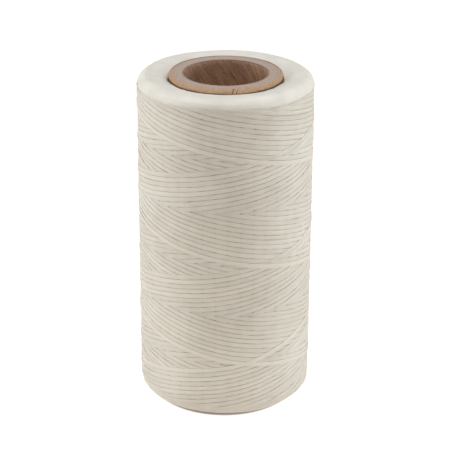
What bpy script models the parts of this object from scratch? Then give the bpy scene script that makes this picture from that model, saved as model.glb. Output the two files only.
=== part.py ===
"""A full spool of flat waxed thread: one length of tape wound on a spiral-wound paper tube.

The tube's axis is Z and its lower end face stands on Z = 0. Places on the thread are
given by an angle round that axis, which starts at -Y and runs anticlockwise seen from above.
"""

import math

import bmesh
import bpy

MM = 0.001

# Driving dimensions
PACKAGE_RADIUS = 38.1 * MM  # over the last turn of thread
CORE_LENGTH = 149.2 * MM
CORE_RADIUS = 24.55 * MM
BORE_RADIUS = 18.2 * MM
TAPE_WIDTH = 2.16 * MM
TAPE_THICKNESS = 0.33 * MM

# Paper core: a kraft liner, board plies and a kraft wrap, each a strip wound at one lead
KRAFT_THICKNESS = 0.5 * MM
BOARD_PLIES = 6
GLUE_LINE = 0.1 * MM  # between neighbouring plies
PLY_LEAD = 180.0 * MM  # height that a strip gains in one turn
PLY_SEAM = 0.8 * MM  # open butt joint between a strip's turns, along the axis
SEAM_STEPS = 17  # facets that each ply's seam is turned past the one inside it
RIM_FLAT_RADIUS = 22.2 * MM  # the rim is flat to here and worn down outside it
RIM_DROP = 1.2 * MM  # at the core's outer edge

# Winding: the ends of the package, above and below
LAYER_GAP = 0.1 * MM  # between a layer of thread and the next node's
WINDING_TOP = 148.8 * MM  # highest ring of the upper face
WINDING_BOTTOM = 1.8 * MM  # lowest ring of the lower face
FACE_DISH = 1.6 * MM  # how far both faces sink towards the core
TOP_SHOULDER = 4.4 * MM
BOTTOM_SHOULDER = 5.8 * MM
INNER_SHARE = 0.5  # of the thread's volume, in the node of the inner layers
WINDING_CORE_RADIUS = CORE_RADIUS + TAPE_THICKNESS + 2 * LAYER_GAP  # over the thread's first end
WINDING_RADIUS = PACKAGE_RADIUS - 2 * (TAPE_THICKNESS + LAYER_GAP)  # under the last two passes

# Traverse of the thread: three turns up and three turns down
TURN_LEAD = 47.0 * MM  # height gained in one turn
CROSSING_ANGLE = 14.0  # where the last two passes cross on the -Y side, in degrees
CROSSING_HEIGHT = 28.7 * MM  # the lowest of those crossings
LAST_TURN_LEAD = 66.0 * MM  # the thread climbs faster past that crossing
TAIL_ROOT_ANGLE = 150.0
TAIL_ANGLE = 50.0  # arc that the loose end covers
TAIL_GAP = 0.6 * MM  # along the thread, so that the loose end can hinge
START_ANGLE = 130.0  # arc that the first end covers on the core
START_HEIGHT = 70.0 * MM

FACETS = 48  # round the axis, on every turned or wound part
FACET = 360.0 / FACETS
STRIP_STEP = 6.0  # degrees between the points of a length of thread

# Colour and roughness of each material
LINER_PAPER = ((0.165, 0.098, 0.062), 0.9)
BOARD_PAPER = ((0.47, 0.36, 0.29), 0.9)
WRAP_PAPER = ((0.52, 0.33, 0.19), 0.85)
WAXED_THREAD = ((0.78, 0.75, 0.66), 0.5)


def material(name, colour, roughness):
    """A plain Principled material."""
    made = bpy.data.materials.new(name)
    made.use_nodes = True
    shader = made.node_tree.nodes["Principled BSDF"]
    shader.inputs["Base Color"].default_value = (*colour, 1.0)
    shader.inputs["Roughness"].default_value = roughness
    shader.inputs["Metallic"].default_value = 0.0
    return made


def collection(name):
    """A new collection in the scene."""
    made = bpy.data.collections.new(name)
    bpy.context.scene.collection.children.link(made)
    return made


def add_object(name, data, group, finish=None):
    """An object in a collection, with a material of its own. Without one it is a cutter or a guide."""
    made = bpy.data.objects.new(name, data)
    group.objects.link(made)
    if finish:
        data.materials.append(material(name, *finish))
    else:
        made.hide_render = True
        made.display_type = "WIRE"
    return made


def turned(name, outline, group, finish=None):
    """A closed outline of (radius, height) points turned round the axis. Its outer side runs down."""
    mesh = bpy.data.meshes.new(name)
    bm = bmesh.new()
    corners = [bm.verts.new((radius, 0, height)) for radius, height in outline]
    for here, after in zip(corners, corners[1:] + corners[:1]):
        bm.edges.new((here, after))
    bm.to_mesh(mesh)
    bm.free()
    made = add_object(name, mesh, group, finish)
    screw = made.modifiers.new("turn", "SCREW")
    screw.axis = "Z"
    screw.angle = math.tau
    screw.steps = screw.render_steps = FACETS
    screw.use_merge_vertices = True
    screw.merge_threshold = 1e-6
    screw.use_smooth_shade = True
    return made


def rim_height(radius):
    """How high the core's end stands at a radius: flat, then worn down to its outer edge."""
    past = max(0.0, radius - RIM_FLAT_RADIUS) / (CORE_RADIUS - RIM_FLAT_RADIUS)
    return CORE_LENGTH - RIM_DROP * past**2


def core_envelope(group):
    """The shape that both ends of the core are cut to, wider than the core inside and out."""
    spare = 1.0 * MM
    inner, outer = BORE_RADIUS - spare, CORE_RADIUS + spare
    steps = 6
    worn = [RIM_FLAT_RADIUS + (outer - RIM_FLAT_RADIUS) * step / steps for step in range(steps + 1)]
    top = [(inner, CORE_LENGTH)] + [(radius, rim_height(radius)) for radius in worn]
    bottom = [(radius, CORE_LENGTH - height) for radius, height in reversed(top)]
    return turned("core_envelope", top + bottom, group)


def wound_ply(name, inner, outer, seam_facet, envelope, group, finish):
    """One paper strip wound round the axis, its turns butted, and cut to the envelope at both ends."""
    turns = math.ceil(CORE_LENGTH / PLY_LEAD) + 2
    start = math.radians(FACET * seam_facet)
    floor = -1.5 * PLY_LEAD
    height = PLY_LEAD - PLY_SEAM
    bm = bmesh.new()
    section = [(inner, floor), (outer, floor), (outer, floor + height), (inner, floor + height)]
    corners = [bm.verts.new((r * math.cos(start), r * math.sin(start), z)) for r, z in section]
    face = bm.faces.new(corners)
    bmesh.ops.spin(
        bm,
        geom=[face],
        cent=(0, 0, 0),
        axis=(0, 0, 1),
        dvec=(0, 0, PLY_LEAD / FACETS),
        angle=turns * math.tau,
        steps=turns * FACETS,
        use_duplicate=False,
    )
    bmesh.ops.recalc_face_normals(bm, faces=bm.faces)
    mesh = bpy.data.meshes.new(name)
    bm.to_mesh(mesh)
    bm.free()
    mesh.shade_smooth()
    mesh.set_sharp_from_angle(angle=math.radians(30))
    made = add_object(name, mesh, group, finish)
    cut = made.modifiers.new("cut_to_length", "BOOLEAN")
    cut.operation = "INTERSECT"
    cut.solver = "EXACT"
    cut.object = envelope
    return made


def paper_core(group, cutters):
    """The liner, the board plies and the wrap, from the bore outwards, with staggered seams."""
    envelope = core_envelope(cutters)
    plies = [("core_liner", LINER_PAPER)]
    plies += [(f"core_ply_{number}", BOARD_PAPER) for number in range(1, BOARD_PLIES + 1)]
    plies += [("core_wrap", WRAP_PAPER)]
    glued = (len(plies) - 1) * GLUE_LINE
    board = (CORE_RADIUS - BORE_RADIUS - 2 * KRAFT_THICKNESS - glued) / BOARD_PLIES
    inner = BORE_RADIUS
    for number, (name, finish) in enumerate(plies):
        thickness = board if finish is BOARD_PAPER else KRAFT_THICKNESS
        seam = number * SEAM_STEPS % FACETS
        wound_ply(name, inner, inner + thickness, seam, envelope, group, finish)
        inner += thickness + GLUE_LINE


def face_depth(radius, shoulder):
    """How far an end face lies inside its crest: dished towards the core, round at the shoulder."""
    crest = WINDING_RADIUS - shoulder
    if radius >= crest:
        reach = min(1.0, (radius - crest) / shoulder)
        return shoulder * (1 - math.sqrt(1 - reach**2))
    return FACE_DISH * ((crest - radius) / (crest - WINDING_CORE_RADIUS)) ** 2


def face_radii(inner, outer, shoulder):
    """Radii from inner to outer, a few on the dished face and more round the shoulder."""
    crest = WINDING_RADIUS - shoulder
    flat_to = min(outer, crest)
    radii = [inner + (flat_to - inner) * step / 2 for step in range(3)] if inner < crest else [inner]
    if outer > crest:
        first = math.asin(max(0.0, inner - crest) / shoulder)
        last = math.asin(min(1.0, (outer - crest) / shoulder))
        steps = 5
        angles = [first + (last - first) * step / steps for step in range(1, steps + 1)]
        radii += [crest + shoulder * math.sin(angle) for angle in angles]
    return radii


def winding_ring(name, inner, outer, group):
    """All the layers of thread between two radii, as one turned ring."""
    top = [
        (radius, WINDING_TOP - face_depth(radius, TOP_SHOULDER))
        for radius in face_radii(inner, outer, TOP_SHOULDER)
    ]
    bottom = [
        (radius, WINDING_BOTTOM + face_depth(radius, BOTTOM_SHOULDER))
        for radius in face_radii(inner, outer, BOTTOM_SHOULDER)
    ]
    turned(name, top + bottom[::-1], group, WAXED_THREAD)


def winding(group):
    """The inner and the outer layers of thread."""
    inner_area, outer_area = WINDING_CORE_RADIUS**2, WINDING_RADIUS**2
    middle = math.sqrt(inner_area + (outer_area - inner_area) * INNER_SHARE)
    winding_ring("winding_inner_layers", WINDING_CORE_RADIUS, middle, group)
    winding_ring("winding_outer_layers", middle + LAYER_GAP, WINDING_RADIUS, group)


def tape_section(cutters):
    """The flat tape's cross-section, as the bevel of every length of thread."""
    curve = bpy.data.curves.new("tape_section", "CURVE")
    curve.dimensions = "2D"
    spline = curve.splines.new("POLY")
    half_thickness, half_width = TAPE_THICKNESS / 2, TAPE_WIDTH / 2
    corners = [(-1, -1), (-1, 1), (1, 1), (1, -1)]
    spline.points.add(len(corners) - 1)
    for point, (x, y) in zip(spline.points, corners):
        point.co = (x * half_thickness, y * half_width, 0, 1)
    spline.use_cyclic_u = True
    return add_object("tape_section", curve, cutters)


def on_winding(angle, radius, height):
    """The point at an angle from the front, a radius and a height."""
    turn = math.radians(angle)
    return radius * math.sin(turn), -radius * math.cos(turn), height


def laid_tape(name, inner_radius, first, last, height_at, section, group, pivot=(0, 0, 0)):
    """A length of tape lying flat round the axis from one angle to another."""
    steps = max(2, round(abs(last - first) / STRIP_STEP))
    radius = inner_radius + TAPE_THICKNESS / 2
    curve = bpy.data.curves.new(name, "CURVE")
    curve.dimensions = "3D"
    curve.twist_mode = "Z_UP"
    curve.bevel_mode = "OBJECT"
    curve.bevel_object = section
    curve.use_fill_caps = True
    spline = curve.splines.new("POLY")
    spline.points.add(steps)
    for step, point in enumerate(spline.points):
        angle = first + (last - first) * step / steps
        place = on_winding(angle, radius, height_at(angle))
        point.co = (*(value - origin for value, origin in zip(place, pivot)), 1)
    made = add_object(name, curve, group, WAXED_THREAD)
    made.location = pivot
    return made


def down_pass_height(angle):
    """The last pass down the package, which falls as it goes round."""
    return CROSSING_HEIGHT - TURN_LEAD * (angle - CROSSING_ANGLE) / 360


def up_pass_height(angle):
    """The last pass up, which climbs faster once it has crossed the pass before it."""
    past = angle - CROSSING_ANGLE
    lead = LAST_TURN_LEAD if past > 0 else TURN_LEAD
    return CROSSING_HEIGHT + lead * past / 360


def thread_ends(group, cutters):
    """The first end on the core, the last pass down, the last pass up and its loose end."""
    section = tape_section(cutters)
    laid_tape(
        "thread_start",
        CORE_RADIUS + LAYER_GAP,
        -START_ANGLE,
        0,
        lambda angle: START_HEIGHT,
        section,
        group,
    )
    under = WINDING_RADIUS + LAYER_GAP
    over = under + TAPE_THICKNESS + LAYER_GAP
    laid_tape(
        "last_down_pass",
        under,
        CROSSING_ANGLE - 2.5 * 360,
        CROSSING_ANGLE + 0.5 * 360,
        down_pass_height,
        section,
        group,
    )
    gap_angle = math.degrees(TAIL_GAP / PACKAGE_RADIUS)
    laid_tape(
        "last_up_pass",
        over,
        CROSSING_ANGLE - 0.5 * 360,
        TAIL_ROOT_ANGLE - gap_angle,
        up_pass_height,
        section,
        group,
    )
    pivot = on_winding(TAIL_ROOT_ANGLE, over, up_pass_height(TAIL_ROOT_ANGLE))
    laid_tape(
        "thread_tail",
        over,
        TAIL_ROOT_ANGLE,
        TAIL_ROOT_ANGLE + TAIL_ANGLE,
        up_pass_height,
        section,
        group,
        pivot,
    )


def main():
    """Clears the scene and builds the spool."""
    for old in list(bpy.data.objects):
        bpy.data.objects.remove(old)
    group = collection("thread_spool")
    cutters = collection("cutters")
    cutters.hide_render = True
    paper_core(group, cutters)
    winding(group)
    thread_ends(group, cutters)


main()
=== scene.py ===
"""The looks of the waxed thread spool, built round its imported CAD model.

The thread is laid in the order that a winder lays it: every trip, once down the package and
back up, is a length of flat tape that is pulled taut over the trips under it. Angles round the
spool start at -Y and run anticlockwise seen from above. Lengths are in metres.
"""

import math

import bmesh
import bpy
import numpy as np
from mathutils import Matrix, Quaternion, Vector, noise


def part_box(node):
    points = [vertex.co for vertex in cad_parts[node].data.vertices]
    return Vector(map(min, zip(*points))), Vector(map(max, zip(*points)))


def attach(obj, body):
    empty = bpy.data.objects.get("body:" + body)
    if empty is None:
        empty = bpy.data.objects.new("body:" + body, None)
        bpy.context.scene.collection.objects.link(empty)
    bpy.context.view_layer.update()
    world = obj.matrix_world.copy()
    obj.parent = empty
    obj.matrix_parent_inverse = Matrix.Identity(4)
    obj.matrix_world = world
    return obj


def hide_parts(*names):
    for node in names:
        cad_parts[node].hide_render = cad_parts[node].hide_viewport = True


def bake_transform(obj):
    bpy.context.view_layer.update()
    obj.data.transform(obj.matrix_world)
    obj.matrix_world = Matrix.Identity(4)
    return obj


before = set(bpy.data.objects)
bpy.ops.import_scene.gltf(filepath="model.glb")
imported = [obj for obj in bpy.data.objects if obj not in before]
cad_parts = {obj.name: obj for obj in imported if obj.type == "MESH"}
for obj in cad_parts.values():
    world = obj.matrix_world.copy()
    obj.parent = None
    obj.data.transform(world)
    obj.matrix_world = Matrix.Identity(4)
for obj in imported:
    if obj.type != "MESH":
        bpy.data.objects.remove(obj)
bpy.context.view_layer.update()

MM = 0.001
SEED = 7
TURN = 360.0

# Sizes that the CAD model gives
PACKAGE_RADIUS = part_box("last_up_pass")[1].x
CORE_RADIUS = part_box("core_wrap")[1].x
CORE_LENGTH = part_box("core_liner")[1].z
WINDING_LOW, WINDING_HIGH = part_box("winding_outer_layers")
BOTTOM_LIFT = 0.4 * MM  # of the winding's lower face over the CAD's
WINDING_LOW.z += BOTTOM_LIFT

# The flat thread
TAPE_WIDTH = 2.16 * MM
TAPE_THICKNESS = 0.33 * MM
PULLED_WIDTH = 2.03 * MM  # of a strand under tension, so that a groove is left beside each
PRESSED = 0.6  # share of its thickness that a strand adds where it crosses others
LANE = 0.32  # of its width, from a strand's middle to the lane on either side
LANES = (-LANE, 0.0, LANE)  # where across its width a strand is held up
PROBES = (-0.1, 0, 0.1)  # of its width, round each lane
FLATNESS = 0.4  # share by which a strand's three lanes are evened out

# A section of the flat thread: how far across, and how far up its thickness, round its outline
SECTION = (
    (-0.5, 0.05),
    (-0.49, 0.55),
    (-0.46, 0.8),
    (-0.4, 0.93),
    (-0.28, 1.0),
    (-0.1, 1.03),
    (0.1, 1.03),
    (0.28, 1.0),
    (0.4, 0.93),
    (0.46, 0.8),
    (0.49, 0.55),
    (0.5, 0.05),
)

# The traverse: its lead, the turning heights, and where the newest passes cross on the -Y side
TURN_LEAD = 47.0 * MM
STRANDS = 21.47  # neighbouring strands in one lead
PITCH = TURN_LEAD / STRANDS
CROSSING_ANGLE = 14.0
CROSSING_HEIGHT = 28.7 * MM
LOW_ANGLE = CROSSING_ANGLE + TURN / 2  # where the last trip turns back up
LOW_TURN = CROSSING_HEIGHT - TURN_LEAD / 2
HIGH_TURN = LOW_TURN - PITCH / 2 + 3 * TURN_LEAD
PASS_ANGLE = (HIGH_TURN - LOW_TURN) / TURN_LEAD * TURN
SHIFT_ANGLE = TURN / STRANDS  # between one trip and the next
TURN_ROUND = (8.0, 26.0)  # the thread turns back over this many degrees, before and after
TURN_SEED = 5000
LAST_LEAD = 66.0 * MM  # of the last climb, past the crossing
TAIL_SPLICE = 140.0  # the piece with the loose end begins here
TAIL_END = 200.0

# How a strand strays from its line: with its neighbours, and a little on its own
DRIFTS = 4  # heights at which the common drift is set
DRIFT_WAVES = 5
DRIFT = 0.22 * MM
OWN_WAVES = 24
OWN_WANDER = 0.03 * MM
OWN_OFFSET = 0.04 * MM
OWN_SEED = 1000
TURN_EASE = 40.0  # degrees over which a strand's own wander sets in after a turn

# Laying the thread
BURIED_TRIPS = 24  # trips that only raise the surface
SHOWN_TRIPS = 23
GRID_ANGLES = 1080
GRID_STEP = 0.2 * MM
PATH_STEP = 1.5  # degrees
SECTION_EVERY = 2  # path steps between the ribbon's sections
LAY_STEP = 0.28  # degrees
LAY_LANES = np.linspace(-0.49, 0.49, 12)
FREE_CURVE = 1.6 / PACKAGE_RADIUS  # how sharply taut thread comes down from what it crosses
SURFACE_SINK = 0.22 * MM  # of the mean surface under the package's radius
BASE_RADIUS = PACKAGE_RADIUS - SURFACE_SINK
HIGHEST = 0.16 * MM  # that a strand's underside may lie over the mean surface
EVEN_ROWS = 0.6 * MM  # the package is evened over these distances
EVEN_SPREAD = 5.0 * MM
SHARP = 60.0  # edges between faces turned further than this many degrees stay crisp
LAST_TRIP_HIGHLIGHT = 2.2  # the last trip is this much lighter, a painted highlight on its raised strand, where others lie between -1 and 1
SHADE_EASE = 90.0  # degrees over which one trip's shade goes over into the next's

# The pieces that the shown thread is gathered into
THREAD_PIECES = (
    "wound_thread_1",
    "wound_thread_2",
    "last_down_pass_thread",
    "last_up_pass_thread",
    "loose_thread_end",
)

# How the package comes in at an end: over how far, how much, and the radius of its corner
TOP_SHOULDER = (7.0 * MM, 0.3 * MM, 4.4 * MM)
BOTTOM_SHOULDER = (8.0 * MM, 0.6 * MM, 5.0 * MM)

# The winding under the shown strands, and its end faces
FACE_DISH = 1.75 * MM
TUBE_GAP = 0.35 * MM
BODY_ANGLES = np.arange(0, TURN, 0.75)
CORNER_ANGLES = np.linspace(3, 90, 16)
FACE_STEP = 0.24 * MM
COVER_STEP = 0.3 * MM
WALL_STEP = 12 * MM
COVER = 0.16 * MM  # of the smooth shoulders over the mean surface
UNDER = 0.55 * MM  # of the body under the laid thread
TOP_COVER = (3.0 * MM, 4.5 * MM)  # the shoulder covers the thread down to here, and fades over this
BOTTOM_COVER = (3.0 * MM, 5.0 * MM)
BOTTOM_FACE_SEED = 50.0
SWELL_START = 1.5 * MM  # the swells set in over this distance from the tube
LOOP_REACH = 1.6 * MM  # of the innermost loops of thread, from the tube

# Hollows in the end faces beside the tube: angle, width in degrees, depth, reach from the tube
DIPS = (
    (-86.0, 13.0, 1.3 * MM, 2.6 * MM),
    (84.0, 12.0, 1.3 * MM, 2.8 * MM),
    (160.0, 20.0, 0.5 * MM, 1.5 * MM),
)

# The tube
PLY_LEAD = 180.0 * MM
BOARD_PLIES = 6
PLY_GAP = 0.03 * MM  # between neighbouring plies
TUBE_ANGLES = np.unique(np.concatenate([np.arange(0, TURN, 1.0), np.arange(0, 20, 0.2)]))
RIM_FLAT = 21.9 * MM  # the rim is flat to here and worn outside it
RIM_DROP = 1.4 * MM
RIM_ROUND = 0.96  # how nearly the worn edge is a full quarter turn
WEAR = (0.12, 1.0)  # share of the rim's wear at the back and at the front
WEAR_TURN = 0.75  # how quickly it goes from the one to the other
NICKS = ((6.2, 0.32 * MM), (10.6, 0.2 * MM))  # on the rim at the front: angle and depth
NICK_SLANT = 3.6  # degrees that a nick runs round from the rim's outer edge to its flat
NICK_WIDTH = 0.5  # degrees
NICK_START = 0.15  # share of the worn rim where a nick begins
NICK_FADE = 0.2  # it reaches its full depth over this share
PLY_EASE = 0.09 * MM  # a ply's end is eased over this distance from its walls
PLY_SINK = np.array([2.2, 0.6, 0, 0, 0, 0.6, 2.2]) * PLY_EASE / 2  # across a ply's end
WALL_PARTS = np.linspace(0, 1, 5)
END_ZONE = 2 * MM  # the ply's plain wall begins this far from its ends
SWELL_WEAR = 0.3 * MM  # an end swells fully where it is worn this deep
LEAST_SWELL = 0.2  # share of the swell where it isn't worn
TAN_START = 0.02 * MM  # added to the wear, so that specks of an unworn end go tan too
TAN_DEPTH = 0.36 * MM  # the paper is fully tan where it is worn this deep
TORN_DEPTH = 0.3 * MM  # and fully bare where it is cut this deep

# Uneven surfaces: the grain across, the grains in one turn, and how much
RIDGES = (0.42 * MM, 9, 0.07 * MM)
SWELLS = (5.0 * MM, 11, 0.35 * MM)
CRINKLES = (1.2 * MM, 120, 0.45)
LOOPS = (1.0, 60, 0.75 * MM)
WEAR_PATCHES = (1.0, 14, 0.25)
END_FUZZ = (0.5 * MM, 90, 0.05 * MM)
END_SWELL = (4 * MM, 12, 0.09 * MM)
WALL_JITTER = (0.6 * MM, 40, 0.03 * MM)

# Colours, linear
WHITE = (1, 1, 1)
BLACK = (0, 0, 0)
THREAD_LIGHT = (0.82, 0.77, 0.685)
THREAD_DARK = (0.72, 0.67, 0.585)
THREAD_VALLEY = (0.86, 0.85, 0.82)  # painted shade between the braid's yarns
THREAD_EDGE_SHADE = (0.87, 0.85, 0.81)  # painted shade along a strand's edges, which darkens the grooves between strands
LINER_TONES = ((0.38, (0.33, 0.175, 0.1)), (0.5, (0.5, 0.285, 0.172)), (0.64, (0.67, 0.425, 0.27)))
LINER_SCRATCH = (0.60, 0.44, 0.32)
LINER_END = (0.33, 0.225, 0.17)  # on its cut end, over the heights that follow
LINER_END_ZONE = (CORE_LENGTH - 0.6 * MM, CORE_LENGTH - 0.2 * MM)
LINER_SQUEEZE = 0.12  # of its streaks' grain along the helix, which draws them out
GREY_TONES = ((0.35, (0.38, 0.28, 0.225)), (0.65, (0.54, 0.415, 0.345)))
TAN_TONES = ((0.35, (0.40, 0.235, 0.13)), (0.65, (0.60, 0.39, 0.23)))
BROWN_AND_SHADE_TONES = ((0.35, (0.13, 0.07, 0.035)), (0.65, (0.24, 0.14, 0.08)))
BARE_BROWN = (0.10, 0.05, 0.025)
BROWN_AND_SHADE_RADII = (23.0 * MM, 23.8 * MM)  # the board's end goes over to brown between these, partly the paper's own brown and partly painted shade along the tube's outer edge
RAGGED = 1.2  # how far noise moves the border of a worn or torn place
RAGGED_RANGE = (0.15, 0.85)  # over which the border goes from one paper to the other

# The braid of the thread
BRAID_LENGTH = 0.95 * MM  # in which a yarn comes round once
BRAID_YARNS = 4.0  # across the thread
LOWER_YARN = 0.96  # height of the yarns of one direction, against the other's

# The camera
LENS = 129.9  # mm
SENSOR = 36.0  # mm
SHIFT = (-0.0003, 0.0175)
ELEVATION = math.radians(23.33)
ROLL = math.radians(0.23)
DISTANCE = 18.95 * PACKAGE_RADIUS

# The studio
WORLD_COLOUR = (1, 0.97, 0.92, 1)
WORLD_STRENGTH = 0.18
TABLE_COLOUR = (1.0, 0.975, 0.94, 1)
TABLE_BASE = (0.28, 0.2, 0.12, 1)
TABLE_HALF = 4.0
TABLE_SEEN = 1.02  # how bright the table looks
TABLE_BOUNCE = 0.36  # how brightly it lights the spool
CONTACT_CENTRE = (-0.4 * MM, 0, 0)
CONTACT_RADII = (30.9 * MM, 32.8 * MM)  # the contact shadow fades out between these
CONTACT_SHADE = 0.2
AIM = (0, 0, 0.07)

# Lights: place, aim, size, power and colour
LIGHTS = {
    "left_light": ((-0.8, -0.1, 0.15), AIM, (0.7, 0.4), 4.1, (0.9, 0.95, 1.0)),
    "right_light": ((0.8, -0.1, 0.1), AIM, (0.7, 0.4), 5.1, (0.86, 0.93, 1.0)),
    "front_card": ((0, -0.14, 2 * MM), (0, -0.139, 1), (0.2, 0.2), 0.047, (1.0, 0.985, 0.96)),
    "top_light": ((0, -0.06, 0.95), AIM, (0.9, 0.7), 6.8, (0.92, 0.96, 1.0)),
}


# ---- The shape of the package ----


def wobble(rng, period, count, amount):
    """A smooth function of an angle in degrees that repeats after a period."""
    waves = np.arange(1, count + 1)
    phases = rng.uniform(0, 2 * np.pi, count)
    sizes = amount / np.sqrt(count) * np.sqrt(2) * rng.uniform(0.5, 1.0, count)

    def at(angle):
        """The function's value at an angle or an array of angles."""
        angle = np.asarray(angle, float)
        turns = angle[..., None] / period * waves * 2 * np.pi
        return (np.cos(turns + phases) * sizes).sum(-1)

    return at


def soft_abs(x, width):
    """The distance from zero, rounded off within a width."""
    x = np.abs(x)
    return np.where(x < width, (x * x + width * width) / (2 * width), x)


def end_drop(depth, shoulder):
    """How far the package's side has come in at a depth from one of its ends."""
    reach, amount, corner = shoulder
    slope = np.clip(1 - depth / reach, 0, 1) ** 2 * amount
    rounding = np.clip(1 - depth / corner, 0, 1)
    return slope + corner * (1 - np.sqrt(1 - rounding**2))


def shoulder_drop(z):
    """How far the package's side has come in from its full radius at a height."""
    return end_drop(WINDING_HIGH.z - z, TOP_SHOULDER) + end_drop(z - WINDING_LOW.z, BOTTOM_SHOULDER)


def blurred(values, spread, axis):
    """Values blurred by a bell curve along one axis. Round the turn (0) they wrap, along z (1) not."""
    step = GRID_STEP if axis else 2 * math.pi * PACKAGE_RADIUS / GRID_ANGLES
    reach = int(3 * spread / step)
    bell = np.exp(-((np.arange(-reach, reach + 1) * step / spread) ** 2) / 2)
    bell /= bell.sum()
    widths = [(0, 0), (0, 0)]
    widths[axis] = (reach, reach)
    padded = np.pad(values, widths, mode="edge" if axis else "wrap")
    return np.apply_along_axis(np.convolve, axis, padded, bell, mode="valid")


def across(lanes, part):
    """The height at a part of the width, from -0.5 to 0.5, of the curve through three lanes."""
    low, middle, high = lanes
    slope = (high - low) / (2 * LANE)
    bend = ((high + low) / 2 - middle) / LANE**2
    return middle + slope * part + bend * part * part


class Winding:
    """The height of the wound surface over an even cylinder, as thread is laid on it."""

    def __init__(self):
        """An even package, before the first trip."""
        rng = np.random.default_rng(SEED)
        self.rows = int(CORE_LENGTH / GRID_STEP) + 1
        self.heights = np.arange(self.rows) * GRID_STEP
        self.height = np.tile(-shoulder_drop(self.heights), (GRID_ANGLES, 1))
        self.drift = [wobble(rng, TURN, DRIFT_WAVES, DRIFT) for _ in range(DRIFTS)]
        self.last_end = None

    def cell(self, angle, z):
        """The grid's column and row at an angle and a height."""
        column = np.round(angle / TURN * GRID_ANGLES).astype(int) % GRID_ANGLES
        row = np.clip(np.round(z / GRID_STEP).astype(int), 0, self.rows - 1)
        return column, row

    def trip(self, number):
        """The angle and height along one trip down and up. Trip 0 is the last, and stops at its end."""
        last = PASS_ANGLE if number else TAIL_END + TURN - LOW_ANGLE
        travel = np.arange(-PASS_ANGLE, last + PATH_STEP / 2, PATH_STEP)
        climb = TURN_LEAD / TURN
        before, low, after = (self.turn_width(2 * number + step) for step in (1, 0, -1))
        from_low = LOW_TURN + climb * soft_abs(travel, low)
        high = np.where(travel < 0, before, after)
        from_high = HIGH_TURN - climb * soft_abs(PASS_ANGLE - np.abs(travel), high)
        z = np.where(np.abs(travel) < PASS_ANGLE / 2, from_low, from_high)
        if number == 0:
            past = np.maximum(0, travel - TURN / 2)
            z = z + past * (LAST_LEAD - TURN_LEAD) / TURN
        angle = LOW_ANGLE + number * SHIFT_ANGLE + travel
        return angle, z + self.wander(angle, z, number, travel)

    def turn_width(self, number):
        """How gradually the thread turns back at one end of the traverse."""
        return np.random.default_rng(TURN_SEED + number).uniform(*TURN_ROUND)

    def wander(self, angle, z, number, travel):
        """How far a strand strays from its line: mostly with its neighbours, a little on its own."""
        share = z / CORE_LENGTH * (len(self.drift) - 1)
        together = sum(
            drift(angle) * np.clip(1 - np.abs(share - place), 0, 1)
            for place, drift in enumerate(self.drift)
        )
        rng = np.random.default_rng(OWN_SEED + number)
        alone = wobble(rng, 2 * PASS_ANGLE, OWN_WAVES, OWN_WANDER)
        offset = rng.normal(0, OWN_OFFSET)
        own = alone(travel) + np.clip(travel / TURN_EASE, -1, 1) * offset
        return together + own * np.clip((PASS_ANGLE - np.abs(travel)) / TURN_EASE, 0, 1)

    def taut(self, distance, support):
        """The lowest line over the supports that bends down no faster than free thread does."""
        lifted = support - FREE_CURVE / 2 * distance**2
        hull = []
        for i in range(len(distance)):
            while len(hull) > 1:
                a, b = hull[-2], hull[-1]
                rise = (lifted[b] - lifted[a]) * (distance[i] - distance[a])
                if rise > (lifted[i] - lifted[a]) * (distance[b] - distance[a]):
                    break
                hull.pop()
            hull.append(i)
        over = np.interp(distance, distance[hull], lifted[hull])
        return over + FREE_CURVE / 2 * distance**2

    def lay(self, angle, z):
        """Lays one length of thread. Returns the height of its underside at its three lanes."""
        distance = np.radians(angle - angle[0]) * PACKAGE_RADIUS
        lanes = []
        for lane in LANES:
            places = [z + (lane + part) * TAPE_WIDTH for part in PROBES]
            support = np.max([self.height[self.cell(angle, place)] for place in places], axis=0)
            if self.last_end is not None:
                support[0] = self.last_end[len(lanes)]
            lanes.append(self.taut(distance, support))
        flat = sum(lanes) / len(lanes)
        under = np.stack([(1 - FLATNESS) * lane + FLATNESS * flat for lane in lanes])
        self.last_end = [lane[-1] for lane in lanes]
        self.deposit(angle, z, under)
        return under

    def deposit(self, angle, z, under):
        """Raises the surface to the top of a length of thread."""
        fine = np.arange(angle[0], angle[-1], LAY_STEP)
        z_fine = np.interp(fine, angle, z)
        lanes = np.stack([np.interp(fine, angle, lane) for lane in under])
        for part in LAY_LANES:
            height = across(lanes, part) + TAPE_THICKNESS * PRESSED
            column, row = self.cell(fine, z_fine + part * TAPE_WIDTH)
            np.maximum.at(self.height, (column, row), height)

    def excess(self):
        """How far the laid surface stands over the package's true outline, smoothed, over the grid."""
        over = self.height + shoulder_drop(self.heights)
        covered = (self.heights > LOW_TURN) & (self.heights < HIGH_TURN)
        first, last = np.flatnonzero(covered)[[0, -1]]
        over[:, :first], over[:, last:] = over[:, first : first + 1], over[:, last : last + 1]
        mean = blurred(over.mean(axis=0)[None, :], EVEN_ROWS, 1)
        swells = blurred(over - mean, EVEN_SPREAD, 1)
        return mean + blurred(swells, EVEN_SPREAD, 0)


# ---- Meshes ----


def mesh_object(name, points, quads, uv=None, caps=(), shades=None):
    """A mesh from points and faces, with the thread's UVs and shades where it has them."""
    mesh = bpy.data.meshes.new(name)
    faces = quads.tolist() + [list(cap) for cap in caps]
    mesh.from_pydata(points.tolist(), [], faces)
    mesh.update()
    if uv is not None:
        layer = mesh.uv_layers.new(name="thread")
        loops = np.empty(len(mesh.loops), int)
        mesh.loops.foreach_get("vertex_index", loops)
        layer.data.foreach_set("uv", uv[loops].astype(np.float32).ravel())
    if shades is not None:
        add_attribute(mesh, "strand_shade", shades)
    mesh.shade_smooth()
    mesh.set_sharp_from_angle(angle=math.radians(SHARP))
    made = bpy.data.objects.new(name, mesh)
    bpy.context.scene.collection.objects.link(made)
    return made


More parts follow.
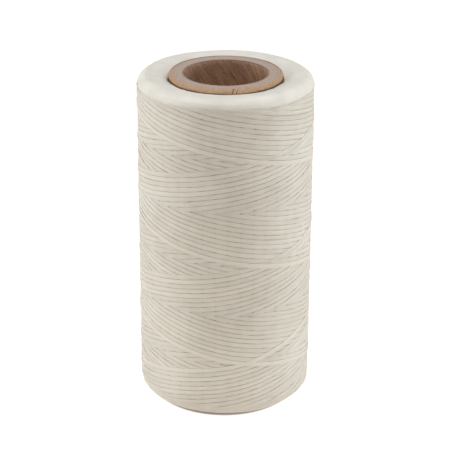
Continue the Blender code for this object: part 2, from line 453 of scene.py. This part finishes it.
def add_attribute(mesh, name, values):
    """One number at each vertex of a mesh, for its material to read."""
    attribute = mesh.attributes.new(name, "FLOAT", "POINT")
    attribute.data.foreach_set("value", values.astype(np.float32).ravel())


def torus_mesh(name, radius, height, angles):
    """A closed mesh from a closed outline at each angle: rows are angles, columns go round the outline."""
    turn = np.radians(angles)
    count, ring = radius.shape
    points = np.empty((count, ring, 3))
    points[..., 0] = radius * np.sin(turn)[:, None]
    points[..., 1] = -radius * np.cos(turn)[:, None]
    points[..., 2] = height
    index = np.arange(count * ring).reshape(count, ring)
    after = np.roll(index, -1, axis=0)
    corners = [index, np.roll(index, -1, axis=1), np.roll(after, -1, axis=1), after]
    return mesh_object(name, points.reshape(-1, 3), np.stack(corners, axis=-1).reshape(-1, 4))


def round_noise(angles, across_values, kind):
    """Perlin noise of one kind over angles round the axis and a second value."""
    size, steps, amount = kind
    grid_turn, grid_across = np.meshgrid(np.radians(angles), across_values / size, indexing="ij")
    reach = steps / (2 * np.pi)
    points = np.stack([np.cos(grid_turn) * reach, np.sin(grid_turn) * reach, grid_across], axis=-1)
    values = np.array([noise.noise(Vector(point)) for point in points.reshape(-1, 3)])
    return values.reshape(grid_turn.shape) * amount


def spaced(points, step):
    """Points evenly spaced along an open line through the given ones."""
    points = np.array(points)
    run = np.concatenate([[0], np.cumsum(np.hypot(*np.diff(points, axis=0).T))])
    count = max(2, round(run[-1] / step) + 1)
    at = np.linspace(0, run[-1], count)
    return np.stack([np.interp(at, run, points[:, 0]), np.interp(at, run, points[:, 1])], axis=-1)


# ---- The thread ----


def ribbon_arrays(angle, z, under, along_start):
    """The vertices, faces, UVs and length of one length of flat thread."""
    count = len(angle)
    ring = len(SECTION)
    turn = np.radians(angle)
    climb = np.gradient(z) / (np.gradient(turn) * BASE_RADIUS)
    lean = climb / np.sqrt(1 + climb**2)
    rise = 1 / np.sqrt(1 + climb**2)
    points = np.empty((count, ring, 3))
    uv = np.empty((count, ring, 2))
    run = np.concatenate([[0], np.cumsum(np.hypot(np.diff(turn) * BASE_RADIUS, np.diff(z)))])
    for i, (part, up) in enumerate(SECTION):
        radius = BASE_RADIUS + across(under, part) + up * TAPE_THICKNESS
        side = part * PULLED_WIDTH
        at = turn - side * lean / BASE_RADIUS
        points[:, i, 0] = radius * np.sin(at)
        points[:, i, 1] = -radius * np.cos(at)
        points[:, i, 2] = z + side * rise
        uv[:, i, 0] = along_start + run
        uv[:, i, 1] = part + 0.5
    index = np.arange(count * ring).reshape(count, ring)
    here, after = index[:-1], index[1:]
    corners = [here, after, np.roll(after, -1, axis=1), np.roll(here, -1, axis=1)]
    quads = np.stack(corners, axis=-1).reshape(-1, 4)
    return points.reshape(-1, 3), quads, uv.reshape(-1, 2), run[-1]


class Ribbons:
    """Lengths of thread gathered into one piece."""

    def __init__(self, name):
        """An empty piece."""
        self.name = name
        self.points, self.quads, self.uv, self.shades, self.caps = [], [], [], [], []
        self.count = 0

    def add(self, angle, z, under, along, shade):
        """Adds a length of thread, and returns how long it is."""
        points, quads, uv, run = ribbon_arrays(angle, z, under, along)
        ring = len(SECTION)
        first = [self.count + i for i in range(ring)]
        last = [self.count + len(points) - ring + i for i in range(ring)]
        self.caps += [first, last[::-1]]
        self.points.append(points)
        self.quads.append(quads + self.count)
        self.uv.append(uv)
        self.shades.append(np.repeat(shade, ring))
        self.count += len(points)
        return run

    def build(self):
        """The piece as one mesh."""
        return mesh_object(
            self.name,
            np.concatenate(self.points),
            np.concatenate(self.quads),
            np.concatenate(self.uv),
            self.caps,
            np.concatenate(self.shades),
        )


def lay_trips():
    """Lays every trip, the oldest first. Returns those that show, sunk to an even package."""
    winding = Winding()
    laid = []
    for number in range(BURIED_TRIPS + SHOWN_TRIPS - 1, -1, -1):
        angle, z = winding.trip(number)
        under = winding.lay(angle, z)
        if number < SHOWN_TRIPS:
            laid.append((number, angle, z, under))
    excess = winding.excess()
    for number, angle, z, under in laid:
        drop = shoulder_drop(z)
        for lane, offset in zip(under, LANES):
            lane -= excess[winding.cell(angle, z + offset * TAPE_WIDTH)]
            lane += drop
            lane[:] = np.where(lane < 0, lane, HIGHEST * (1 - np.exp(-lane / HIGHEST))) - drop
    return laid


def shade_along(number, angle, shades):
    """The shade along one trip, which goes over into its neighbours' at both ends."""
    own = shades[number]
    earlier = shades[min(number + 1, SHOWN_TRIPS - 1)]
    later = shades[max(number - 1, 0)]
    after_start = np.clip(1 - (angle - angle[0]) / SHADE_EASE, 0, 1)
    before_end = np.clip(1 - (angle[-1] - angle) / SHADE_EASE, 0, 1)
    return own + after_start * (earlier - own) / 2 + before_end * (later - own) / 2


def spans_of(number, angle):
    """The pieces that a trip goes into, with the first and the last step of each."""
    end = len(angle) - 1
    if number > SHOWN_TRIPS / 2:
        return [("wound_thread_1", 0, end)]
    if number:
        return [("wound_thread_2", 0, end)]
    low = int(np.argmin(np.abs(angle - LOW_ANGLE)))
    splice = int(np.argmin(np.abs(angle - (TURN + TAIL_SPLICE))))
    return [
        ("last_down_pass_thread", 0, low),
        ("last_up_pass_thread", low, splice),
        ("loose_thread_end", splice, end),
    ]


def wind():
    """The pieces of the thread that show, by name."""
    laid = lay_trips()
    groups = {name: Ribbons(name) for name in THREAD_PIECES}
    rng = np.random.default_rng(SEED + 1)
    # The last trip gets a painted highlight; the other trips' tones differ at random.
    shades = [LAST_TRIP_HIGHLIGHT] + [rng.uniform(-1, 1) for _ in range(SHOWN_TRIPS - 1)]
    along = 0.0
    for number, angle, z, under in laid:
        shade = shade_along(number, angle, shades)
        for name, start, end in spans_of(number, angle):
            picks = np.append(np.arange(start, end, SECTION_EVERY), end)
            along += groups[name].add(angle[picks], z[picks], under[:, picks], along, shade[picks])
    return {name: group.build() for name, group in groups.items()}


def attach_thread(pieces):
    """Rides the thread on the spool. The loose end is not ridden: its placing is baked into its mesh."""
    for name, piece in pieces.items():
        if name == "loose_thread_end":
            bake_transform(piece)
        else:
            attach(piece, "spool")
    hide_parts("last_down_pass")
    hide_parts("last_up_pass")
    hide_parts("thread_tail")


# ---- The winding under the shown strands ----


def end_face(crest_height, shoulder, cover, direction):
    """The outline of one end of the winding, from the tube's side to where the laid thread begins."""
    covered, fade = cover
    corner = shoulder[2]
    rounding = corner * (1 - np.cos(np.radians(CORNER_ANGLES)))
    below = np.arange(corner, covered + fade, COVER_STEP)
    depths = np.unique(np.concatenate([rounding, [covered, covered + fade], below]))
    side = [(BASE_RADIUS - float(end_drop(depth, shoulder)), depth) for depth in depths]
    inner = CORE_RADIUS + TUBE_GAP
    crest = side[0][0]
    face = [(inner + (crest - inner) * t, FACE_DISH * (1 - t) ** 2) for t in np.linspace(0, 1, 12)]
    outline = spaced(face[:-1] + side, FACE_STEP)
    share = np.clip((outline[:, 1] - covered) / fade, 0, 1)
    rim = np.clip((outline[:, 0] - crest) / corner, 0, 1)
    outline[:, 0] += (COVER - (COVER + UNDER) * share * share * (3 - 2 * share)) * rim
    outline[:, 1] = crest_height - direction * outline[:, 1]
    return outline


def face_lift(radius, seed):
    """How far an end face stands out of its outline at each angle and radius."""
    past_tube = radius - CORE_RADIUS
    ridges = round_noise(BODY_ANGLES, radius + seed, RIDGES)
    swells = round_noise(BODY_ANGLES, radius + seed + 1, SWELLS)
    crinkles = round_noise(BODY_ANGLES, radius + seed + 2, CRINKLES)
    lift = ridges + swells * np.clip(past_tube / SWELL_START, 0, 1)
    for dip_angle, width, depth, reach in DIPS:
        away = (BODY_ANGLES - dip_angle + TURN / 2) % TURN - TURN / 2
        hollow = np.exp(-((away / width) ** 2))[:, None]
        close = np.clip(1 - past_tube / reach, 0, 1)[None, :] ** 1.5
        lift = lift - hollow * close * depth * (1 + crinkles)
    return lift


def winding_body():
    """Everything that is wound under the visible passes, with its two end faces."""
    top = end_face(WINDING_HIGH.z, TOP_SHOULDER, TOP_COVER, 1)
    bottom = end_face(WINDING_LOW.z, BOTTOM_SHOULDER, BOTTOM_COVER, -1)[::-1]
    side = spaced([top[-1], bottom[0]], WALL_STEP)[1:-1]
    inner_wall = spaced([bottom[-1], top[0]], WALL_STEP)[1:-1]
    outline = np.concatenate([top, side, bottom, inner_wall])
    radius = np.tile(outline[:, 0], (len(BODY_ANGLES), 1))
    height = np.tile(outline[:, 1], (len(BODY_ANGLES), 1))
    top_span = slice(0, len(top))
    bottom_span = slice(len(top) + len(side), len(top) + len(side) + len(bottom))
    height[:, top_span] += face_lift(outline[top_span, 0], 0.0)
    height[:, bottom_span] -= face_lift(outline[bottom_span, 0], BOTTOM_FACE_SEED)
    near_tube = np.clip(1 - (outline[:, 0] - CORE_RADIUS) / LOOP_REACH, 0, 1)
    loops = round_noise(BODY_ANGLES, np.zeros(1), LOOPS) * near_tube[None, :]
    radius += loops
    height[:, top_span] += loops[:, top_span]
    return torus_mesh("winding_body", radius, height, BODY_ANGLES)


# ---- The tube ----


def rim_reach(radius):
    """How far across the worn part of the rim each radius lies, from 0 to 1."""
    return np.clip((radius - RIM_FLAT) / (CORE_RADIUS - RIM_FLAT), 0, 1)


def rim_wear(radius):
    """How far the tube's end is worn down, at each angle round it and at each radius."""
    reach = rim_reach(radius)
    drop = RIM_DROP * (1 - np.sqrt(1 - RIM_ROUND * reach**2)) / (1 - math.sqrt(1 - RIM_ROUND))
    least, most = WEAR
    facing = np.clip(0.5 + WEAR_TURN * np.cos(np.radians(TUBE_ANGLES)), 0, 1)
    share = least + (most - least) * facing
    patchy = 1 + round_noise(TUBE_ANGLES, np.zeros(1), WEAR_PATCHES)
    return share[:, None] * patchy * drop[None, :]


def rim_nicks(radius):
    """The depth of the cuts in the rim at each angle and radius."""
    reach = rim_reach(radius)[None, :]
    depth = np.zeros((len(TUBE_ANGLES), len(radius)))
    for place, cut in NICKS:
        away = TUBE_ANGLES[:, None] - (place + NICK_SLANT * (1 - reach))
        share = np.clip((reach - NICK_START) / NICK_FADE, 0, 1)
        depth += cut * np.exp(-((away / NICK_WIDTH) ** 2)) * share
    return depth


def node_radii(node):
    """The inner and outer radius of a CAD node."""
    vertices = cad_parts[node].data.vertices
    distances = [math.hypot(vertex.co.x, vertex.co.y) for vertex in vertices]
    return min(distances), max(distances)


def ply_piece(node, inner, outer, seed):
    """One ply of the tube, with its fibrous, worn ends."""
    ends = [0, PLY_EASE / 3, PLY_EASE]
    middle = (inner + outer) / 2
    across_end = np.array([inner + x for x in ends] + [middle] + [outer - x for x in ends[::-1]])
    worn = rim_wear(across_end)
    cuts = rim_nicks(across_end)
    fuzz = round_noise(TUBE_ANGLES, across_end + seed, END_FUZZ)
    swell = round_noise(TUBE_ANGLES, across_end, END_SWELL)
    end = worn + PLY_SINK + fuzz + swell * np.clip(worn / SWELL_WEAR, LEAST_SWELL, 1)
    columns, walls = len(across_end), len(WALL_PARTS)
    outer_wall, inner_wall = np.full(walls, outer), np.full(walls, inner)
    radius = np.concatenate([across_end, outer_wall, across_end[::-1], inner_wall])
    height = np.empty((len(TUBE_ANGLES), len(radius)))
    down_wall = (CORE_LENGTH - 2 * END_ZONE) * WALL_PARTS
    height[:, :columns] = CORE_LENGTH - np.maximum(end + cuts, 0)
    height[:, columns : columns + walls] = CORE_LENGTH - END_ZONE - down_wall
    height[:, columns + walls : 2 * columns + walls] = np.maximum(end[::-1, ::-1], 0)
    height[:, 2 * columns + walls :] = END_ZONE + down_wall
    jitter = round_noise(TUBE_ANGLES, np.array([inner, outer]), WALL_JITTER)
    near_outer = np.abs(radius - outer) < np.abs(radius - inner)
    shift = np.where(near_outer[None, :], jitter[:, 1:], jitter[:, :1])
    piece = torus_mesh(node + "_paper", radius[None, :] + shift, height, TUBE_ANGLES)
    tan, torn = np.zeros_like(height), np.zeros_like(height)
    tan[:, :columns] = np.clip((worn + TAN_START) / TAN_DEPTH, 0, 1)
    torn[:, :columns] = np.clip(cuts / TORN_DEPTH, 0, 1)
    add_attribute(piece.data, "tan", tan)
    add_attribute(piece.data, "torn", torn)
    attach(piece, "spool")
    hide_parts(node)
    return piece


def tube():
    """The liner, the board plies and the wrap, as detailed pieces."""
    boards = [f"core_ply_{number}" for number in range(1, BOARD_PLIES + 1)]
    inner = node_radii("core_liner")[0] - PLY_GAP
    made = []
    for number, node in enumerate(["core_liner"] + boards + ["core_wrap"]):
        outer = node_radii(node)[1]
        made.append(ply_piece(node, inner + PLY_GAP, outer, number))
        inner = outer
    return made


# ---- Material nodes ----


def nodes_of(name):
    """A new material, its node tree and its Principled shader."""
    made = bpy.data.materials.new(name)
    made.use_nodes = True
    tree = made.node_tree
    return made, tree, tree.nodes["Principled BSDF"]


def add_node(tree, kind, **values):
    """A node with its properties, and inputs given by name."""
    made = tree.nodes.new(kind)
    for key, value in values.items():
        if key in made.inputs:
            made.inputs[key].default_value = value
        else:
            setattr(made, key, value)
    return made


def connect(tree, socket, value):
    """Sets a socket to a number or a colour, or links another socket to it."""
    if isinstance(value, (int, float)):
        socket.default_value = value
    elif isinstance(value, tuple):
        socket.default_value = (*value, 1)
    else:
        tree.links.new(value, socket)


def math_node(tree, operation, a, b=None):
    """A Math node over sockets or numbers."""
    made = add_node(tree, "ShaderNodeMath", operation=operation)
    connect(tree, made.inputs[0], a)
    if b is not None:
        connect(tree, made.inputs[1], b)
    return made.outputs[0]


def plus(tree, a, b):
    """The sum of two sockets or numbers."""
    return math_node(tree, "ADD", a, b)


def minus(tree, a, b):
    """The difference of two sockets or numbers."""
    return math_node(tree, "SUBTRACT", a, b)


def times(tree, a, b):
    """The product of two sockets or numbers."""
    return math_node(tree, "MULTIPLY", a, b)


def colour_ramp(tree, factor, stops):
    """A colour ramp over a factor, from (position, colour) stops."""
    made = tree.nodes.new("ShaderNodeValToRGB")
    tree.links.new(factor, made.inputs["Fac"])
    elements = made.color_ramp.elements
    while len(elements) < len(stops):
        elements.new(0.5)
    for element, (position, colour) in zip(elements, stops):
        element.position = position
        element.color = (*colour, 1)
    return made.outputs["Color"]


def mixed(tree, blend, factor, a, b):
    """Two colours mixed."""
    made = add_node(tree, "ShaderNodeMix", data_type="RGBA", blend_type=blend)
    connect(tree, made.inputs["Factor"], factor)
    connect(tree, made.inputs[6], a)
    connect(tree, made.inputs[7], b)
    return made.outputs[2]


def map_range(tree, value, source, target=(0.0, 1.0), interpolation="LINEAR"):
    """A value carried from one range to another."""
    made = add_node(tree, "ShaderNodeMapRange", interpolation_type=interpolation)
    tree.links.new(value, made.inputs["Value"])
    made.inputs["From Min"].default_value, made.inputs["From Max"].default_value = source
    made.inputs["To Min"].default_value, made.inputs["To Max"].default_value = target
    return made.outputs["Result"]


def object_place(tree):
    """Coordinates fixed to the object."""
    return tree.nodes.new("ShaderNodeTexCoord").outputs["Object"]


def separated(tree, vector):
    """The X, Y and Z sockets of a vector."""
    made = tree.nodes.new("ShaderNodeSeparateXYZ")
    tree.links.new(vector, made.inputs["Vector"])
    return made.outputs


def stretched(tree, vector, factors):
    """A vector multiplied by a factor along each axis."""
    made = add_node(tree, "ShaderNodeVectorMath", operation="MULTIPLY")
    made.inputs[1].default_value = factors
    tree.links.new(vector, made.inputs[0])
    return made.outputs[0]


def distance_from_axis(tree, place):
    """The distance from the spool's axis."""
    made = add_node(tree, "ShaderNodeVectorMath", operation="LENGTH")
    tree.links.new(stretched(tree, place, (1, 1, 0)), made.inputs[0])
    return made.outputs["Value"]


def attribute(tree, name):
    """A mesh attribute as a number."""
    return add_node(tree, "ShaderNodeAttribute", attribute_name=name).outputs["Fac"]


def noise_node(tree, vector, scale, detail=3.0, roughness=0.5):
    """Noise over a vector."""
    made = add_node(tree, "ShaderNodeTexNoise", Scale=scale, Detail=detail, Roughness=roughness)
    tree.links.new(vector, made.inputs["Vector"])
    return made.outputs["Fac"]


def line_noise(tree, value, scale):
    """Noise over one number."""
    made = add_node(tree, "ShaderNodeTexNoise", noise_dimensions="1D", Scale=scale, Detail=2.0)
    tree.links.new(value, made.inputs["W"])
    return made.outputs["Fac"]


def bumped(tree, shader, heights, distance, strength):
    """Bump from a height socket in metres over a distance."""
    bump = add_node(tree, "ShaderNodeBump", Strength=strength, Distance=distance)
    tree.links.new(heights, bump.inputs["Height"])
    tree.links.new(bump.outputs["Normal"], shader.inputs["Normal"])


def twisted(tree, place, lead):
    """Coordinates in which a helix round the axis stands upright, shortened along it."""
    rotate = add_node(tree, "ShaderNodeVectorRotate", rotation_type="Z_AXIS")
    tree.links.new(place, rotate.inputs["Vector"])
    turn = times(tree, separated(tree, place)["Z"], -2 * math.pi / lead)
    tree.links.new(turn, rotate.inputs["Angle"])
    return stretched(tree, rotate.outputs["Vector"], (1, 1, LINER_SQUEEZE))


def soaked(tree, name, ragged):
    """A factor from a mesh attribute, with a ragged border."""
    uneven = times(tree, minus(tree, ragged, 0.5), RAGGED)
    return map_range(tree, plus(tree, attribute(tree, name), uneven), RAGGED_RANGE)


# ---- Materials ----


def waxy(shader):
    """Light spreads a little way under the wax, and the fibres' nap catches it from the side."""
    shader.inputs["Sheen Weight"].default_value = 0.15
    shader.inputs["Sheen Roughness"].default_value = 0.5
    shader.inputs["Subsurface Weight"].default_value = 0.15
    shader.inputs["Subsurface Radius"].default_value = (1.0, 0.8, 0.6)
    shader.inputs["Subsurface Scale"].default_value = 0.5 * MM


def braid(tree, thread_uv):
    """The height, from 0 to 1, of yarns that cross at a shallow angle along the thread."""
    along = times(tree, thread_uv["X"], 1 / BRAID_LENGTH)
    over = times(tree, thread_uv["Y"], BRAID_YARNS)
    heights = []
    for phase in (plus(tree, along, over), minus(tree, along, over)):
        wave = math_node(tree, "SINE", times(tree, phase, math.pi))
        heights.append(math_node(tree, "ABSOLUTE", wave))
    return math_node(tree, "MAXIMUM", heights[0], times(tree, heights[1], LOWER_YARN))


def thread_material():
    """Waxed flat braid under a thin film of wax."""
    made, tree, shader = nodes_of("waxed_braid")
    thread_uv = separated(tree, add_node(tree, "ShaderNodeUVMap", uv_map="thread").outputs["UV"])
    weave = braid(tree, thread_uv)
    place = object_place(tree)
    grain = noise_node(tree, place, 2600.0, 2.0)
    wax = noise_node(tree, place, 240.0, 3.0)
    blotch = noise_node(tree, place, 55.0, 3.0)
    relief = plus(tree, plus(tree, weave, times(tree, grain, 0.35)), times(tree, wax, 0.5))
    bumped(tree, shader, relief, 0.05 * MM, 0.45)
    factor = plus(tree, blotch, times(tree, attribute(tree, "strand_shade"), 0.16))
    factor = plus(tree, factor, times(tree, minus(tree, wax, 0.5), 0.5))
    tint = colour_ramp(tree, factor, ((0.25, THREAD_DARK), (0.75, THREAD_LIGHT)))
    # Painted shade in the braid's valleys, between its yarns.
    valley = colour_ramp(tree, weave, ((0.55, THREAD_VALLEY), (0.95, WHITE)))
    rim = math_node(tree, "ABSOLUTE", minus(tree, thread_uv["Y"], 0.5))
    # Painted shade along each strand's edges darkens the grooves between strands.
    edge_shade = colour_ramp(tree, rim, ((0.42, WHITE), (0.485, THREAD_EDGE_SHADE)))
    valley_shaded = mixed(tree, "MULTIPLY", 1.0, tint, valley)
    tree.links.new(mixed(tree, "MULTIPLY", 1.0, valley_shaded, edge_shade), shader.inputs["Base Color"])
    tree.links.new(map_range(tree, wax, (0.3, 0.7), (0.42, 0.62)), shader.inputs["Roughness"])
    waxy(shader)
    return made


def wound_face_material():
    """The thread's edges, packed side by side on the winding's ends."""
    made, tree, shader = nodes_of("wound_face")
    place = object_place(tree)
    sway = times(tree, noise_node(tree, place, 60.0, 2.0), 2.4 * MM)
    ring = plus(tree, plus(tree, distance_from_axis(tree, place), sway), separated(tree, place)["Z"])
    lines = line_noise(tree, ring, 2300.0)
    fibre = noise_node(tree, place, 1800.0, 3.0)
    bumped(tree, shader, plus(tree, lines, times(tree, fibre, 0.5)), 0.08 * MM, 0.4)
    blotch = noise_node(tree, place, 140.0, 4.0)
    factor = plus(tree, blotch, times(tree, lines, 0.25))
    tint = colour_ramp(tree, factor, ((0.35, THREAD_DARK), (0.85, THREAD_LIGHT)))
    tree.links.new(tint, shader.inputs["Base Color"])
    shader.inputs["Roughness"].default_value = 0.55
    waxy(shader)
    return made


def liner_material():
    """Dark kraft paper in the bore, streaked along the winding of the tube, greyer at its cut end."""
    made, tree, shader = nodes_of("liner_kraft")
    place = object_place(tree)
    helix = twisted(tree, place, PLY_LEAD)
    streaks = noise_node(tree, helix, 900.0, 3.0, 0.6)
    hairs = noise_node(tree, helix, 2600.0, 2.0, 0.6)
    specks = noise_node(tree, place, 1300.0, 4.0, 0.75)
    factor = plus(tree, times(tree, streaks, 0.55), times(tree, specks, 0.45))
    kraft = colour_ramp(tree, factor, LINER_TONES)
    scratch = colour_ramp(tree, hairs, ((0.57, BLACK), (0.68, WHITE)))
    scratched = mixed(tree, "MIX", scratch, kraft, LINER_SCRATCH)
    height = separated(tree, place)["Z"]
    end = map_range(tree, height, LINER_END_ZONE)
    tree.links.new(mixed(tree, "MIX", end, scratched, LINER_END), shader.inputs["Base Color"])
    shader.inputs["Roughness"].default_value = 0.85
    bumped(tree, shader, plus(tree, hairs, specks), 0.06 * MM, 0.5)
    return made


def board_material():
    """The board's cut end: grey-pink pulp, brown outside (partly painted shade at the tube's outer edge),
    and tan where the rim is worn.
    """
    made, tree, shader = nodes_of("tube_board")
    place = object_place(tree)
    ragged = noise_node(tree, place, 260.0, 4.0)
    pulp = noise_node(tree, place, 1500.0, 5.0, 0.7)
    uneven = times(tree, minus(tree, ragged, 0.5), 0.8 * MM)
    edge = plus(tree, distance_from_axis(tree, place), uneven)
    factor = plus(tree, times(tree, pulp, 0.6), times(tree, line_noise(tree, edge, 1500.0), 0.4))
    grey = colour_ramp(tree, factor, GREY_TONES)
    tan = colour_ramp(tree, pulp, TAN_TONES)
    # The brown at the outer edge is partly the paper's own colour and partly painted shade.
    brown_and_shade = colour_ramp(tree, pulp, BROWN_AND_SHADE_TONES)
    cut = mixed(tree, "MIX", map_range(tree, edge, BROWN_AND_SHADE_RADII), grey, brown_and_shade)
    worn = mixed(tree, "MIX", soaked(tree, "tan", ragged), cut, tan)
    torn = mixed(tree, "MIX", soaked(tree, "torn", ragged), worn, BARE_BROWN)
    tree.links.new(torn, shader.inputs["Base Color"])
    shader.inputs["Roughness"].default_value = 0.9
    bumped(tree, shader, plus(tree, pulp, ragged), 0.08 * MM, 0.5)
    return made


def wrap_material():
    """The tube's smooth outer paper: tan, dark brown down its side (partly painted shade in the gap beside
    the winding).
    """
    made, tree, shader = nodes_of("wrap_kraft")
    place = object_place(tree)
    pulp = noise_node(tree, place, 1300.0, 5.0, 0.7)
    blotch = noise_node(tree, place, 260.0, 3.0)
    tan = colour_ramp(tree, pulp, TAN_TONES)
    # The dark brown is partly the paper's own colour and partly painted shade beside the winding.
    brown_and_shade = colour_ramp(tree, pulp, BROWN_AND_SHADE_TONES)
    worn = mixed(tree, "MIX", soaked(tree, "tan", blotch), brown_and_shade, tan)
    torn = mixed(tree, "MIX", soaked(tree, "torn", blotch), worn, BARE_BROWN)
    tree.links.new(torn, shader.inputs["Base Color"])
    shader.inputs["Roughness"].default_value = 0.8
    bumped(tree, shader, plus(tree, pulp, blotch), 0.08 * MM, 0.5)
    return made


def spool():
    """All the pieces, ridden on their bodies and with their materials."""
    pieces = wind()
    attach_thread(pieces)
    thread = thread_material()
    for piece in pieces.values():
        piece.data.materials.append(thread)
    papers = {
        "core_liner": (liner_material(), "liner_paper"),
        "core_ply": (board_material(), "board_paper"),
        "core_wrap": (wrap_material(), "wrap_paper"),
    }
    for ply in tube():
        paper, slot = next(papers[start] for start in papers if ply.name.startswith(start))
        ply.data.materials.append(paper)
    face = wound_face_material()
    body = winding_body()
    body.data.materials.append(face)
    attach(body, "spool")
    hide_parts("winding_inner_layers", "winding_outer_layers")
    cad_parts["thread_start"].material_slots[0].material = face


# ---- The camera and the studio ----


def camera():
    """A long lens, 23 degrees above the horizon and a little rolled."""
    data = bpy.data.cameras.new("camera")
    data.lens = LENS
    data.sensor_width = SENSOR
    data.shift_x, data.shift_y = SHIFT
    made = bpy.data.objects.new("camera", data)
    bpy.context.scene.collection.objects.link(made)
    centre = Vector((0, 0, CORE_LENGTH / 2))
    back = Vector((0, -math.cos(ELEVATION), math.sin(ELEVATION)))
    made.location = centre + back * DISTANCE
    pitch = Quaternion((1, 0, 0), math.pi / 2 - ELEVATION)
    roll = Quaternion((0, 0, 1), ROLL)
    made.rotation_euler = (pitch @ roll).to_euler()
    bpy.context.scene.camera = made


def area_light(name, place, aim, size, power, colour):
    """A rectangular soft light that the camera doesn't see."""
    data = bpy.data.lights.new(name, "AREA")
    data.shape = "RECTANGLE"
    data.size, data.size_y = size
    data.energy = power
    data.color = colour
    made = bpy.data.objects.new(name, data)
    bpy.context.scene.collection.objects.link(made)
    made.location = place
    made.rotation_euler = (Vector(aim) - Vector(place)).to_track_quat("-Z", "Y").to_euler()
    made.visible_camera = False


def table_material(name, strength):
    """A white table lit from below, dark only where the spool stands on it."""
    made, tree, shader = nodes_of(name)
    away = add_node(tree, "ShaderNodeVectorMath", operation="DISTANCE")
    away.inputs[1].default_value = CONTACT_CENTRE
    tree.links.new(object_place(tree), away.inputs[0])
    range_out = (CONTACT_SHADE * strength, strength)
    glow = map_range(tree, away.outputs["Value"], CONTACT_RADII, range_out, "SMOOTHSTEP")
    tree.links.new(glow, shader.inputs["Emission Strength"])
    shader.inputs["Emission Color"].default_value = TABLE_COLOUR
    shader.inputs["Base Color"].default_value = TABLE_BASE
    shader.inputs["Roughness"].default_value = 0.9
    return made


def table(name, height, strength):
    """A wide glowing table top."""
    mesh = bpy.data.meshes.new(name)
    bm = bmesh.new()
    bmesh.ops.create_grid(bm, x_segments=1, y_segments=1, size=TABLE_HALF)
    bm.to_mesh(mesh)
    bm.free()
    made = bpy.data.objects.new(name, mesh)
    made.location.z = height
    bpy.context.scene.collection.objects.link(made)
    mesh.materials.append(table_material(name + "_glow", strength))
    return made


def studio():
    """A plain white table in soft light: one table top is seen, and the other lights the spool."""
    scene = bpy.context.scene
    scene.view_settings.view_transform = "Standard"
    world = bpy.data.worlds.new("studio")
    world.use_nodes = True
    background = world.node_tree.nodes["Background"]
    background.inputs["Color"].default_value = WORLD_COLOUR
    background.inputs["Strength"].default_value = WORLD_STRENGTH
    scene.world = world
    table("floor", 0.0, TABLE_SEEN).visible_diffuse = False
    bounce = table("bounce", 0.1 * MM, TABLE_BOUNCE)
    bounce.visible_camera = False
    bounce.visible_glossy = False
    for name, settings in LIGHTS.items():
        area_light(name, *settings)


spool()
camera()
studio()
